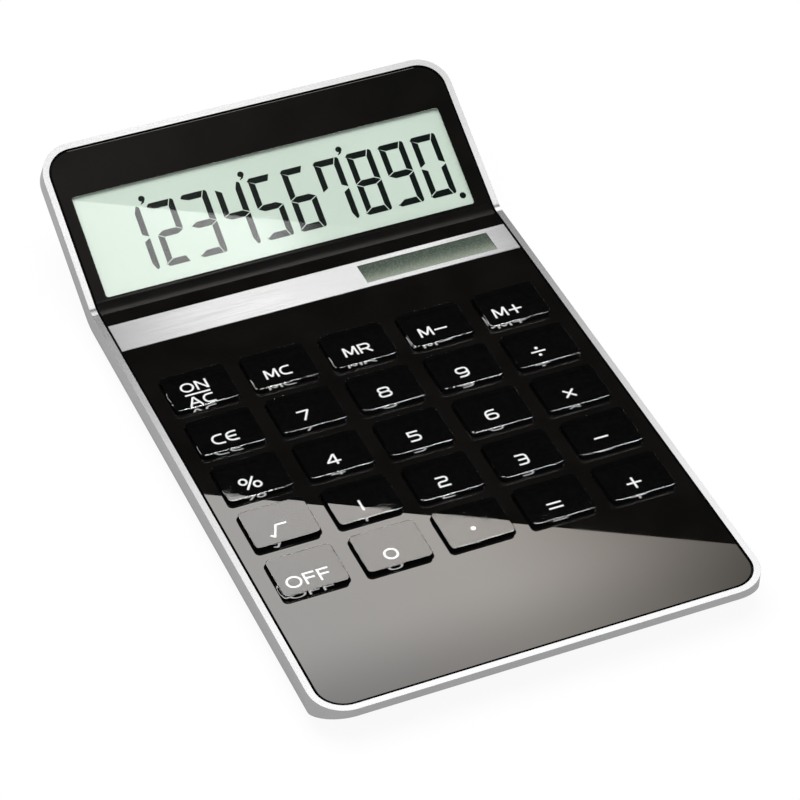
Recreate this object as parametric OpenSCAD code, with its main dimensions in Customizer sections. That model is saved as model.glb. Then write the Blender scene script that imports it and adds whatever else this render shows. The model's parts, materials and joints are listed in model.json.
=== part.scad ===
// Desk calculator: a flat keypad section and a raised display section in one bent silver case,
// with a gloss black face, clear keys on a silicone keypad, a solar cell and a button cell.
// The face of the keypad section is level. Heights below are measured from that face, and in the
// display section from the same face after the bend. Lengths run back from the front rim's inner edge.

/* [Outline] */
// Width of the opening inside the silver rim
opening_w = 100; // [98:0.5:112]
// Length of the opening from the front rim to the bend
keypad_l = 135.3; // [132:0.1:150]
// Length of the opening from the bend to the rear rim
display_l = 40.4; // [39.5:0.1:48]
// Tilt of the display section
display_tilt = 29.3; // [15:0.1:35]
// Corner radius of the opening
corner_r = 6.5; // [4:0.5:8]
// Radius of the bend, at the face
bend_r = 5; // [4:0.25:6]

/* [Case] */
// Width of the rim's top
rim_w = 1.5; // [1.2:0.1:2.5]
// Height of the rim above the face
rim_rise = 0.1; // [0.05:0.05:0.5]
// Depth of the side walls below the face
side_depth = 5.2; // [4.9:0.1:6]
// Depth of the thin front edge below the face
nose_depth = 2; // [1.4:0.05:2.5]
// Length of the sloping underside behind the front edge
nose_l = 7; // [5:0.5:7.5]
// Thickness of the plate that carries the face panel
plate_t = 1.2; // [1:0.1:1.5]
// Thickness of the back cover around its tray
cover_t = 1.2; // [1:0.1:1.4]
// Gap between the back cover and the case walls
cover_gap = 0.2; // [0.1:0.05:0.4]
// Thickness of the tray's walls and floor
tray_t = 1.5; // [1.2:0.1:2]
// Distance from the opening's sides in to the tray
tray_inset = 2; // [1:0.1:2.2]
// Distance from the front rim's inner edge to the tray
tray_front = 9; // [8:0.5:11]
// Distance from the tray's back to the bend
tray_back_gap = 3.3; // [2:0.1:4]

/* [Face panel] */
// Thickness of the face panel
panel_t = 1; // [0.8:0.1:1.2]
// Gap between the face panel and the rim
panel_gap = 0.5; // [0.2:0.05:0.6]
// Gap round a key
key_gap = 0.35; // [0.3:0.05:0.5]
// Distance from the opening's sides to the display window
window_side = 3.7; // [3.5:0.1:7]
// Height of the display window
window_h = 25.7; // [22:0.1:26]
// Distance from the bend up to the display window
window_low = 2.65; // [2.4:0.05:3.5]
// Corner radius of the display window
window_r = 0.7; // [0.3:0.1:2]
// Gap round the display window's pane
pane_gap = 0.05; // [0.05:0.05:0.15]
// Gap between the pane and the glass of the display
pane_lift = 0.1; // [0.05:0.05:0.2]

/* [Keys] */
// Width of a key
key_w = 15; // [13:0.1:15.6]
// Gap between two rows of keys
row_gap = 3.975; // [3:0.025:6]
// Height of a key above the face
key_rise = 1.15; // [0.9:0.05:1.4]
// Thickness of a key's clear cap
cap_t = 3.2; // [2.9:0.1:3.4]
// Corner radius of a key
key_r = 1.2; // [0.6:0.1:2]
// Travel of a key
key_travel = 1.2; // [0.8:0.1:1.3]
// Distance from the opening's sides to the outer keys
key_margin = 4.3; // [4:0.1:6]
// Distance from the front rim's inner edge to the first keys
key_front = 32.4; // [30:0.1:36]
// Distance from the last keys to the solar strip
key_back_gap = 13.1; // [12.8:0.1:16]

/* [Keypad] */
// Distance from a key's edge in to its rubber boss
boss_inset = 0.5; // [0.3:0.1:0.9]
// Thickness of a rubber boss under its key
boss_t = 1.4; // [1.35:0.05:1.7]
// Wall of the hollow rubber skirt under a boss
skirt_t = 0.6; // [0.4:0.1:0.8]
// Thickness of the rubber sheet between the bosses
web_t = 1; // [0.6:0.1:1.1]
// Width of the rubber sheet round the outer bosses
web_margin = 0.7; // [0.4:0.1:0.9]
// Diameter of a contact pill
pill_d = 5; // [3:0.5:7]
// Thickness of a contact pill
pill_t = 0.4; // [0.3:0.05:0.5]
// Spare gap under a contact pill at full travel
pill_gap = 0.1; // [0.05:0.05:0.2]

/* [Solar strip] */
// Depth of the aluminium strip, front to back
strip_d = 9.4; // [8.5:0.1:10]
// Thickness of the aluminium strip
strip_t = 0.6; // [0.5:0.05:0.7]
// Height of the strip above the face
strip_rise = 0.1; // [0.05:0.05:0.2]
// Gap round the strip in its recess
strip_gap = 0.1; // [0.05:0.05:0.2]
// Distance from the strip to the bend
strip_back = 6; // [5:0.1:7]
// Width of the solar window
solar_w = 33; // [28:0.5:34]
// Depth of the solar window, front to back
solar_d = 6.4; // [5.5:0.1:6.8]
// Distance from the solar window to the right side of the opening
solar_right = 5.7; // [4.5:0.1:8]
// Border of the solar cell behind its window
solar_border = 1.2; // [0.8:0.1:1.4]
// Thickness of the solar cell
solar_t = 1.1; // [0.8:0.1:1.1]
// Diameter of a solar lead
lead_d = 0.8; // [0.6:0.1:1]
// Distance between the solar leads
lead_apart = 12; // [8:0.5:12]
// Distance from the solar cell's middle to its left lead
lead_left = 2.2; // [1:0.1:3]

/* [Display] */
// Width of the glass at the window's sides
glass_side = 1.3; // [0.8:0.1:1.4]
// Height of the glass below the window
glass_low = 0.7; // [0.5:0.1:0.9]
// Height of the glass above the window
glass_high = 2; // [1.5:0.1:2.5]
// Height of the contact ledge on the front glass
ledge_h = 3; // [2.5:0.1:3.2]
// Thickness of one glass plate
glass_t = 0.7; // [0.5:0.05:0.75]
// Thickness of the reflector foil
foil_t = 0.15; // [0.1:0.05:0.2]
// Gap round the glass in the case
glass_gap = 0.3; // [0.2:0.05:0.35]
// Width of a foam pad behind the glass
pad_w = 20; // [10:1:24]
// Height of a foam pad behind the glass
pad_h = 18; // [10:1:22]
// Distance between the foam pads
pad_apart = 44; // [34:1:48]
// Width of the ribbon from the glass to the board
ribbon_w = 24; // [15:1:26]
// Thickness of the ribbon
ribbon_t = 0.15; // [0.1:0.05:0.2]
// Length of the ribbon's step up from the board
ribbon_step = 2; // [1.5:0.1:2.5]
// Length of the ribbon's tail on the board
ribbon_tail = 3.1; // [2.5:0.1:3.5]

/* [Circuit board] */
// Thickness of the circuit board
board_t = 1.2; // [0.8:0.1:1.6]
// Gap between the board and the tray's walls
board_gap = 0.5; // [0.3:0.1:0.6]
// Free depth under the board
board_under = 0.8; // [0.75:0.05:1.2]
// Width of the board in front of the keypad
board_front = 7; // [6.5:0.5:9]
// Distance from the board's rear edge to the solar strip
board_back = 4; // [3.8:0.1:4.2]
// Distance from the board's edge to a board screw's boss
board_edge = 0.3; // [0.2:0.1:0.4]
// Diameter of the potted chip
chip_d = 7; // [5:0.5:8]
// Height of the potted chip
chip_h = 1.5; // [1:0.1:1.8]
// Distance from the opening's right side to the potted chip
chip_side = 18; // [16:0.5:22]

/* [Battery] */
// Diameter of the button cell
cell_d = 11.6; // [11.4:0.1:11.8]
// Height of the button cell
cell_h = 3.05; // [2.6:0.05:3.1]
// Distance from the opening's left side to the button cell's middle
cell_side = 12; // [12:0.1:13]
// Gap round the button cell
cell_gap = 0.25; // [0.15:0.05:0.35]
// Wall of the button cell's well beside the door
well_t = 1; // [0.8:0.1:1.1]
// Wall behind the button cell, inside the tray
well_back = 0.4; // [0.3:0.1:0.6]
// Distance from the well's top up to the button cell's top
well_drop = 0.6; // [0.4:0.1:0.8]
// Length of the door in front of the button cell
door_front = 1; // [0.8:0.1:1]
// Thickness of a contact spring
spring_t = 0.25; // [0.15:0.05:0.3]
// Thickness of the battery door
door_t = 1.2; // [1:0.05:1.3]
// Width of the battery door's body
door_w = 14.4; // [13.5:0.1:14.4]
// Width of the tongue on each side of the door
tongue_w = 0.8; // [0.5:0.1:0.9]
// Thickness of the door's tongues
tongue_t = 0.5; // [0.4:0.05:0.6]
// Gap round the door and its tongues
door_gap = 0.15; // [0.1:0.05:0.2]
// Distance between the grip grooves of the door
grip_pitch = 1.6; // [1.4:0.1:2]
// Width of a contact spring
spring_w = 3; // [2.5:0.1:3.5]
// Gap between the side contact and the button cell
leaf_gap = 0.2; // [0.1:0.05:0.25]

/* [Fasteners and feet] */
// Diameter of a case screw's shank
case_screw_d = 2; // [1.6:0.1:2.2]
// Length of a case screw's shank
case_screw_l = 2.4; // [2.2:0.1:2.5]
// Diameter of a case screw's head
case_head_d = 3.8; // [3.4:0.1:4]
// Height of a case screw's head
case_head_h = 0.9; // [0.7:0.1:0.9]
// Diameter of a board screw's shank
board_screw_d = 1.6; // [1.4:0.1:1.8]
// Length of a board screw's shank
board_screw_l = 2.8; // [2.4:0.1:3.2]
// Diameter of a board screw's head
board_head_d = 3; // [2.6:0.1:3.2]
// Height of a board screw's head
board_head_h = 0.7; // [0.5:0.05:0.7]
// Gap between a shank and its hole
screw_gap = 0.1; // [0.05:0.05:0.15]
// Gap between a screw's head and its recess
head_gap = 0.3; // [0.2:0.05:0.3]
// Wall of a screw boss
boss_wall = 1.1; // [0.8:0.1:1.3]
// Wall of the post round a screw's head
post_wall = 0.8; // [0.6:0.1:0.8]
// Depth of a screw hole past the screw's end
screw_spare = 0.1; // [0.05:0.05:0.2]
// Distance from the opening's sides to the outer case screws
screw_side = 12; // [10:1:16]
// Distance from the opening's sides to the case screws behind the keys
screw_mid_side = 30; // [28:1:32]
// Diameter of a foot
foot_d = 9; // [7:0.5:10]
// Height of a foot below the tray
foot_rise = 0.8; // [0.6:0.1:1.5]
// Depth of a foot in its recess
foot_sink = 0.5; // [0.3:0.1:0.6]
// Distance from the opening's sides to the front feet
foot_side = 10; // [9:1:20]
// Distance from the opening's sides to the rear feet
foot_rear_side = 30; // [28:1:40]
// Distance from a front screw back to a front foot
foot_back = 12; // [10:0.5:14]
// Gap between a foot and its recess
foot_gap = 0.1; // [0.05:0.05:0.2]

/* [Hidden] */
$fn = 64;
cut = 1;
past = 20;
cols = 5;
rows = 5;
bend_steps = 16;
grip_count = 4;
half_w = opening_w / 2;
window_w = opening_w - 2 * window_side;
cell_x = half_w - cell_side;
bend_v = bend_r * tan(display_tilt / 2);

// Heights from the face down
cap_low = key_rise - cap_t;
pill_top = cap_low - boss_t;
board_top = pill_top - pill_t - key_travel - pill_gap;
board_low = board_top - board_t;
floor_top = board_low - board_under;
floor_low = floor_top - tray_t;
plate_low = -panel_t - plate_t;
cover_top = cover_t - side_depth;
glass_low_h = -panel_t - 2 * glass_t;
foil_low = glass_low_h - foil_t;
face_z = foot_rise - floor_low;

// Places along the case
strip_rear = keypad_l - strip_back;
strip_front = strip_rear - strip_d;
pitch_x = (opening_w - 2 * key_margin - key_w) / (cols - 1);
keys_rear = strip_front - key_back_gap;
key_d = (keys_rear - key_front - (rows - 1) * row_gap) / rows;
pitch_y = key_d + row_gap;
tray_half = half_w - tray_inset;
tray_back = keypad_l - tray_back_gap;
board_half = tray_half - tray_t - board_gap;
board_near = key_front - board_front;
board_far = strip_front - board_back;
case_rear = keypad_l + (display_l + rim_w) * cos(display_tilt) + side_depth * sin(display_tilt);
case_mid = (case_rear - rim_w) / 2;

// The solar window and its cell
solar_x = half_w - solar_right - solar_w / 2;
solar_y = strip_front + strip_d / 2;

// The glass and its frame, in the display section
glass_v0 = window_low - glass_low;
glass_v1 = window_low + window_h + glass_high;
ledge_v1 = glass_v1 + ledge_h;
glass_half = window_w / 2 + glass_side;

// The button cell and its door
cell_y = tray_back - tray_t - well_back - cell_gap - cell_d / 2;
door_top = floor_low + door_t;
cell_top = door_top + cell_h;
door_near = cell_y - cell_d / 2 - cell_gap - door_front;
tongue_low = door_top - tongue_t;
well_half = door_w / 2 + tongue_w + door_gap + well_t;
well_top = cell_top - well_drop;
contact_foot = 3;
contact_far = board_far - board_edge;
contact_x = 0.5;

// Screws: x, place along the section, whether they are in the display section, and their heads' seat
case_boss_d = case_screw_d + 2 * screw_gap + 2 * boss_wall;
case_post_d = case_head_d + 2 * (head_gap + post_wall);
display_seat = -panel_t - plate_t / 8 - screw_spare - case_screw_l;
board_boss_d = board_screw_d + 2 * screw_gap + 2 * boss_wall;
screw_front_y = (tray_front + tray_t + board_near) / 2;
screw_mid_y = (keys_rear + board_far) / 2;
screw_rear_v = (ledge_v1 + glass_gap + display_l) / 2;
CASE_SCREWS = [
    for (side = [-1, 1]) each [
        [side * (half_w - screw_side), screw_front_y, false, -side_depth],
        [side * (half_w - screw_mid_side), screw_mid_y, false, -side_depth],
        [side * (half_w - screw_side), screw_rear_v, true, display_seat]
    ]
];
board_screw_in = board_boss_d / 2 + board_edge;
BOARD_SCREWS = [
    for (y = [board_near + board_screw_in, board_far - board_screw_in], side = [-1, 1])
        [side * (board_half - board_screw_in), y]
];
FEET = [
    for (side = [-1, 1]) each [
        [side * (half_w - foot_side), screw_front_y + foot_back],
        [side * (half_w - foot_rear_side), cell_y]
    ]
];
LEADS_X = [solar_x - lead_left, solar_x - lead_left + lead_apart];
lead_level = (plate_low + cover_top) / 2 - lead_d / 4;

// Frames: the case stands on its feet, centred on its own box
module in_case() {
    translate([0, -case_mid, face_z]) children();
}

module on_display() {
    translate([0, keypad_l, 0]) rotate([display_tilt, 0, 0]) children();
}

module section(is_display) {
    if (is_display) on_display() children();
    else children();
}

// Points of the bent section in y and z: the arc at height h, and a point up the display
function bend_arc(h) = [
    for (i = [0:bend_steps])
        let (a = display_tilt * i / bend_steps)
            [keypad_l - bend_v + (bend_r - h) * sin(a), bend_r - (bend_r - h) * cos(a)]
];
function up_display(v, h) = [
    keypad_l + v * cos(display_tilt) - h * sin(display_tilt),
    v * sin(display_tilt) + h * cos(display_tilt)
];
function reversed(list) = [for (i = [len(list) - 1:-1:0]) list[i]];
function bent_outline(low, high, near, far) = concat(
    [[near, low]], bend_arc(low), [up_display(far, low), up_display(far, high)],
    reversed(bend_arc(high)), [[near, high]]
);

// A sheet between two heights that follows the bend, drawn wider than it is cut
module bent_sheet(low, high, near, far, w) {
    rotate([90, 0, 90]) linear_extrude(w, center = true)
        polygon(bent_outline(low, high, near, far));
}

// A rectangle with round corners, from its middle
module round_rect(w, d, r) {
    square([w - 2 * r, d], center = true);
    square([w, d - 2 * r], center = true);
    for (x = [-1, 1], y = [-1, 1])
        translate([x * (w / 2 - r), y * (d / 2 - r)]) circle(r);
}

// A rectangle with its far corners round, from near to far
module round_end(half, near, far, r) {
    translate([-half, near]) square([2 * half, far - r - near]);
    translate([r - half, near]) square([2 * (half - r), far - near]);
    for (side = [-1, 1]) translate([side * (half - r), far - r]) circle(r);
}

// The plan of the bent case, grown or shrunk from the opening: where the keypad's prism, with its
// front corners round, meets the display's tilted prism, with its rear corners round
module plan(grow) {
    tall = 500;
    reach = 250;
    intersection() {
        translate([0, 0, -tall / 2]) linear_extrude(tall)
            mirror([0, 1]) round_end(half_w + grow, -reach, grow, corner_r + grow);
        on_display() translate([0, 0, -tall / 2]) linear_extrude(tall)
            round_end(half_w + grow, -reach, display_l + grow, corner_r + grow);
    }
}

module bent_slab(low, high, grow, near = -past) {
    intersection() {
        bent_sheet(low, high, near, display_l + past, opening_w + past);
        plan(grow);
    }
}

// Key places: row 0 is nearest the display
function key_x(col) = (col - (cols - 1) / 2) * pitch_x;
function key_y(row) = key_front + key_d / 2 + (rows - 1 - row) * pitch_y;

module at_keys() {
    for (col = [0:cols - 1], row = [0:rows - 1])
        translate([key_x(col), key_y(row)]) children();
}

module key_openings(low, high) {
    translate([0, 0, low]) linear_extrude(high - low)
        at_keys() round_rect(key_w + 2 * key_gap, key_d + 2 * key_gap, key_r + key_gap);
}

module solar_opening(low, high, grow) {
    translate([solar_x - solar_w / 2 - grow, solar_y - solar_d / 2 - grow, low])
        cube([solar_w + 2 * grow, solar_d + 2 * grow, high - low]);
}

module window_opening(low, high, grow) {
    on_display() translate([0, window_low + window_h / 2, low]) linear_extrude(high - low)
        round_rect(window_w + 2 * grow, window_h + 2 * grow, window_r + grow);
}

// The silver case: rim, side walls and the plate under the face
module nose_cut() {
    low = -side_depth - cut;
    run = nose_l / (side_depth - nose_depth);
    rotate([90, 0, 90]) linear_extrude(opening_w + past, center = true) polygon([
        [-rim_w - cut, low], [-rim_w + nose_l + cut * run, low],
        [-rim_w - cut, -nose_depth + cut / run]
    ]);
}

module round_bar(d, low, high) {
    translate([0, 0, low]) cylinder(d = d, h = high - low);
}

module top_case() {
    board_hole_top = board_low + board_screw_l + screw_spare;
    color("silver") in_case() difference() {
        union() {
            difference() {
                bent_slab(-side_depth, rim_rise, rim_w);
                bent_slab(-panel_t, rim_rise + cut, 0);
                bent_slab(-side_depth - cut, plate_low, 0, corner_r);
                nose_cut();
            }
            for (s = CASE_SCREWS) section(s[2]) translate([s[0], s[1]])
                round_bar(case_boss_d, s[3] + cover_t, plate_low + plate_t / 2);
            for (s = BOARD_SCREWS) translate([s[0], s[1]])
                round_bar(board_boss_d, board_top, plate_low + plate_t / 2);
        }
        for (s = CASE_SCREWS) section(s[2]) translate([s[0], s[1]])
            round_bar(case_screw_d + 2 * screw_gap, s[3], s[3] + case_screw_l + screw_spare);
        for (s = BOARD_SCREWS) translate([s[0], s[1]])
            round_bar(board_screw_d + 2 * screw_gap, board_low, board_hole_top);
        key_openings(plate_low - cut, -panel_t + cut);
        solar_opening(plate_low - cut, -panel_t + cut, solar_border + glass_gap);
        glass_opening(plate_low - cut, -panel_t + cut);
    }
}

module glass_opening(low, high) {
    on_display() translate([-glass_half - glass_gap, glass_v0 - glass_gap, low])
        cube([2 * (glass_half + glass_gap), ledge_v1 - glass_v0 + 2 * glass_gap, high - low]);
}

// The back cover: a bent plate with a tray for the board, feet, posts and a well for the button cell
module tray(grow, low) {
    translate([-tray_half - grow, tray_front - grow, low])
        cube([2 * (tray_half + grow), tray_back - tray_front + 2 * grow, cover_top - low]);
}

module across_cell(half, near, far, low, high) {
    translate([-cell_x - half, near, low]) cube([2 * half, far - near, high - low]);
}

module door_channel() {
    far = tray_back + cut;
    body_half = door_w / 2 + door_gap;
    across_cell(body_half, door_near, far, floor_low - cut, door_top + door_gap);
    across_cell(body_half + tongue_w, door_near, far, tongue_low - door_gap, door_top + door_gap);
}

module cell_well() {
    across_cell(well_half, door_near, tray_back - tray_t / 2, floor_top - tray_t / 3, well_top);
}

// The room for the button cell, open at the front for its side contact
module cell_room() {
    across_cell(cell_d / 2, door_near, cell_y - cell_d * 0.4, door_top, cell_top);
    translate([-cell_x, cell_y]) round_bar(cell_d + 2 * cell_gap, door_top, cell_top);
}

module back_cover() {
    color("dimgray") in_case() difference() {
        union() {
            difference() {
                union() {
                    bent_slab(-side_depth, cover_top, -cover_gap, corner_r + cover_gap);
                    tray(0, floor_low);
                }
                tray(-tray_t, floor_top);
                translate([-tray_half + tray_t, tray_front + tray_t, cover_top - cut])
                    cube([2 * (tray_half - tray_t), tray_back - tray_front - 2 * tray_t, 2 * cut]);
            }
            for (s = CASE_SCREWS) section(s[2]) translate([s[0], s[1]])
                round_bar(case_post_d, (s[2] ? cover_top : floor_top) - cover_t / 2, s[3] + cover_t);
            cell_well();
        }
        for (s = CASE_SCREWS) section(s[2]) translate([s[0], s[1]]) {
            round_bar(case_screw_d + 4 * screw_gap, s[3] - cut, s[3] + cover_t + cut);
            round_bar(case_head_d + 2 * head_gap, floor_low - cut, s[3]);
        }
        for (f = FEET) translate([f[0], f[1]])
            round_bar(foot_d + 2 * foot_gap, floor_low - cut, floor_low + foot_sink);
        door_channel();
        cell_room();
    }
}

// The face
module face_panel() {
    color("black") in_case() difference() {
        bent_slab(-panel_t, 0, -panel_gap);
        key_openings(-panel_t - cut, cut);
        window_opening(-panel_t - cut, cut, 0);
        solar_opening(-panel_t - cut, cut, 0);
        translate([-half_w, strip_front - strip_gap, strip_rise - strip_t])
            cube([opening_w, strip_d + 2 * strip_gap, strip_t + cut]);
    }
}

module display_window() {
    color("lightcyan", 0.4) in_case() window_opening(pane_lift - panel_t, 0, -pane_gap);
}

module solar_strip() {
    color("lightgray") in_case() difference() {
        translate([panel_gap - half_w, strip_front, strip_rise - strip_t])
            cube([opening_w - 2 * panel_gap, strip_d, strip_t]);
        solar_opening(strip_rise - strip_t - cut, strip_rise + cut, 0);
    }
}

module solar_cell() {
    color("darkslategray") in_case() solar_opening(-panel_t - solar_t, -panel_t, solar_border);
}

module solar_leads() {
    far = solar_y;
    near = board_far - 2 * lead_d;
    top = -panel_t - solar_t;
    color("firebrick") in_case() for (x = LEADS_X) union() {
        translate([x, far, lead_level]) cylinder(d = lead_d, h = top - lead_level);
        translate([x, far, lead_level]) sphere(d = lead_d);
        translate([x, far, lead_level]) rotate([90, 0, 0]) cylinder(d = lead_d, h = far - near);
        translate([x, near, lead_level]) sphere(d = lead_d);
        translate([x, near, board_top]) cylinder(d = lead_d, h = lead_level - board_top);
    }
}

// The display
module lcd_glass() {
    color("palegreen") in_case() on_display() union() {
        translate([-glass_half, glass_v0, -panel_t - glass_t])
            cube([2 * glass_half, ledge_v1 - glass_v0, glass_t]);
        translate([-glass_half, glass_v0, glass_low_h])
            cube([2 * glass_half, glass_v1 - glass_v0, 1.5 * glass_t]);
    }
}

module lcd_reflector() {
    color("gainsboro") in_case() on_display() translate([-glass_half, glass_v0, foil_low])
        cube([2 * glass_half, glass_v1 - glass_v0, foil_t]);
}

module lcd_pads() {
    middle = (glass_v0 + glass_v1) / 2;
    color("dimgray") in_case() on_display() for (side = [-1, 1])
        translate([side * (pad_apart + pad_w) / 2 - pad_w / 2, middle - pad_h / 2, cover_top])
            cube([pad_w, pad_h, foil_low - cover_top]);
}

// The ribbon leaves the ledge of the front glass, runs behind the display and round the bend,
// and ends flat on the rear of the board
module lcd_ribbon() {
    ledge = -panel_t - glass_t;
    end_v = ledge_v1 - ledge_h / 15;
    drop_v = glass_v1 + ledge_h / 12;
    run = (foil_low + cover_top) / 2;
    step_y = board_far + ribbon_step;
    flat_y = board_far - ribbon_step / 5;
    tail_y = flat_y - ribbon_tail;
    outside = [
        [tail_y, board_top], [flat_y, board_top], [step_y, run - ribbon_t / 2]
    ];
    inside = [
        [step_y - ribbon_t, run + ribbon_t / 2], [flat_y - ribbon_t, board_top + ribbon_t],
        [tail_y, board_top + ribbon_t]
    ];
    end = [
        up_display(drop_v + ribbon_t, run - ribbon_t / 2), up_display(drop_v + ribbon_t, ledge - ribbon_t),
        up_display(end_v, ledge - ribbon_t), up_display(end_v, ledge),
        up_display(drop_v, ledge), up_display(drop_v, run + ribbon_t / 2)
    ];
    color("orange") in_case() rotate([90, 0, 90]) linear_extrude(ribbon_w, center = true)
        polygon(concat(
            outside, bend_arc(run - ribbon_t / 2), end, reversed(bend_arc(run + ribbon_t / 2)), inside
        ));
}

// The keypad
module rubber_keypad() {
    boss_w = key_w - 2 * boss_inset;
    boss_d = key_d - 2 * boss_inset;
    web_w = (cols - 1) * pitch_x + boss_w + 2 * web_margin;
    web_d = (rows - 1) * pitch_y + boss_d + 2 * web_margin;
    color("darkslategray") in_case() difference() {
        union() {
            translate([-web_w / 2, key_y(rows - 1) - boss_d / 2 - web_margin, board_top])
                cube([web_w, web_d, web_t]);
            at_keys() translate([-boss_w / 2, -boss_d / 2, board_top])
                cube([boss_w, boss_d, cap_low - board_top]);
        }
        at_keys() translate([skirt_t - boss_w / 2, skirt_t - boss_d / 2, board_top - cut])
            cube([boss_w - 2 * skirt_t, boss_d - 2 * skirt_t, pill_top - board_top + cut]);
    }
}

module contact_pills() {
    color("black") in_case() at_keys() round_bar(pill_d, pill_top - pill_t, pill_top);
}

module key(col, row) {
    color("black") in_case() translate([key_x(col), key_y(row), cap_low]) linear_extrude(cap_t)
        round_rect(key_w, key_d, key_r);
}

// The board
module circuit_board() {
    color("darkgreen") in_case() difference() {
        translate([-board_half, board_near, board_low])
            cube([2 * board_half, board_far - board_near, board_t]);
        for (s = BOARD_SCREWS) translate([s[0], s[1]])
            round_bar(board_screw_d + 4 * screw_gap, board_low - cut, board_top + cut);
        for (s = CASE_SCREWS) if (!s[2]) translate([s[0], s[1]])
            round_bar(case_post_d + 2 * board_gap, board_low - cut, board_top + cut);
    }
}

module potted_chip() {
    base = 0.4;
    color("black") in_case() translate([half_w - chip_side, screw_mid_y, board_top]) rotate_extrude()
        polygon([[0, 0], [chip_d / 2, 0], [chip_d / 2, base], [chip_d / 4, chip_h], [0, chip_h]]);
}

// The button cell, its contacts and its door
module button_cell() {
    crimp = 0.6;
    color("silver") in_case() translate([-cell_x, cell_y, door_top]) union() {
        cylinder(d = cell_d, h = cell_h - crimp);
        cylinder(d = cell_d - 4 * crimp, h = cell_h);
    }
}

module battery_top_contact() {
    riser = contact_far - spring_t;
    reach = cell_y + cell_d / 6 - riser;
    color("gold") in_case() translate([-cell_x - spring_w - contact_x, 0]) union() {
        translate([0, contact_far - contact_foot, board_top]) cube([spring_w, contact_foot, spring_t]);
        translate([0, riser, board_top]) cube([spring_w, spring_t, cell_top + spring_t - board_top]);
        translate([0, riser, cell_top]) cube([spring_w, reach, spring_t]);
    }
}

module battery_side_contact() {
    near = contact_far - contact_foot;
    leaf_y = cell_y - cell_d / 2 - leaf_gap - spring_t;
    leaf_low = door_top + door_gap + leaf_gap;
    color("gold") in_case() translate([contact_x - cell_x, 0]) union() {
        translate([0, near, board_top]) cube([spring_w, leaf_y + spring_t - near, spring_t]);
        translate([0, leaf_y, leaf_low]) cube([spring_w, spring_t, board_top + spring_t - leaf_low]);
    }
}

module battery_door() {
    near = door_near + door_gap;
    grip_low = floor_low + door_t / 4;
    color("dimgray") in_case() difference() {
        union() {
            across_cell(door_w / 2, near, tray_back, floor_low, door_top);
            across_cell(door_w / 2 + tongue_w, near, tray_back, tongue_low, door_top);
        }
        for (i = [1:grip_count]) let (y = tray_back - i * grip_pitch)
            across_cell(door_w * 0.3, y - grip_pitch * 0.45, y, floor_low - cut, grip_low);
    }
}

// Fasteners and feet
module case_screws() {
    slot_w = 0.5;
    slot_l = case_head_d * 2 / 3;
    color("darkgray") in_case() for (s = CASE_SCREWS) section(s[2]) translate([s[0], s[1], s[3]])
        difference() {
            union() {
                cylinder(d = case_screw_d, h = case_screw_l);
                round_bar(case_head_d, -case_head_h, 0);
            }
            for (turn = [0, 90]) rotate(turn)
                translate([-slot_l / 2, -slot_w / 2, -case_head_h - cut])
                    cube([slot_l, slot_w, cut + case_head_h / 2]);
        }
}

module board_screws() {
    color("darkgray") in_case() for (s = BOARD_SCREWS) translate([s[0], s[1], board_low]) union() {
        cylinder(d = board_screw_d, h = board_screw_l);
        round_bar(board_head_d, -board_head_h, 0);
    }
}

module rubber_feet() {
    color("black") in_case() for (f = FEET)
        translate([f[0], f[1], floor_low - foot_rise]) cylinder(d = foot_d, h = foot_rise + foot_sink);
}

top_case();
back_cover();
face_panel();
display_window();
solar_strip();
solar_cell();
solar_leads();
lcd_glass();
lcd_reflector();
lcd_pads();
lcd_ribbon();
rubber_keypad();
contact_pills();
circuit_board();
potted_chip();
button_cell();
battery_top_contact();
battery_side_contact();
battery_door();
case_screws();
board_screws();
rubber_feet();
key(0, 0);  // key_on_ac
key(1, 0);  // key_mc
key(2, 0);  // key_mr
key(3, 0);  // key_m_minus
key(4, 0);  // key_m_plus
key(0, 1);  // key_ce
key(1, 1);  // key_7
key(2, 1);  // key_8
key(3, 1);  // key_9
key(4, 1);  // key_divide
key(0, 2);  // key_percent
key(1, 2);  // key_4
key(2, 2);  // key_5
key(3, 2);  // key_6
key(4, 2);  // key_multiply
key(0, 3);  // key_root
key(1, 3);  // key_1
key(2, 3);  // key_2
key(3, 3);  // key_3
key(4, 3);  // key_minus
key(0, 4);  // key_off
key(1, 4);  // key_0
key(2, 4);  // key_point
key(3, 4);  // key_equals
key(4, 4);  // key_plus
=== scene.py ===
import json
import math

import bmesh
import bpy
from mathutils import Matrix, Vector

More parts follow.
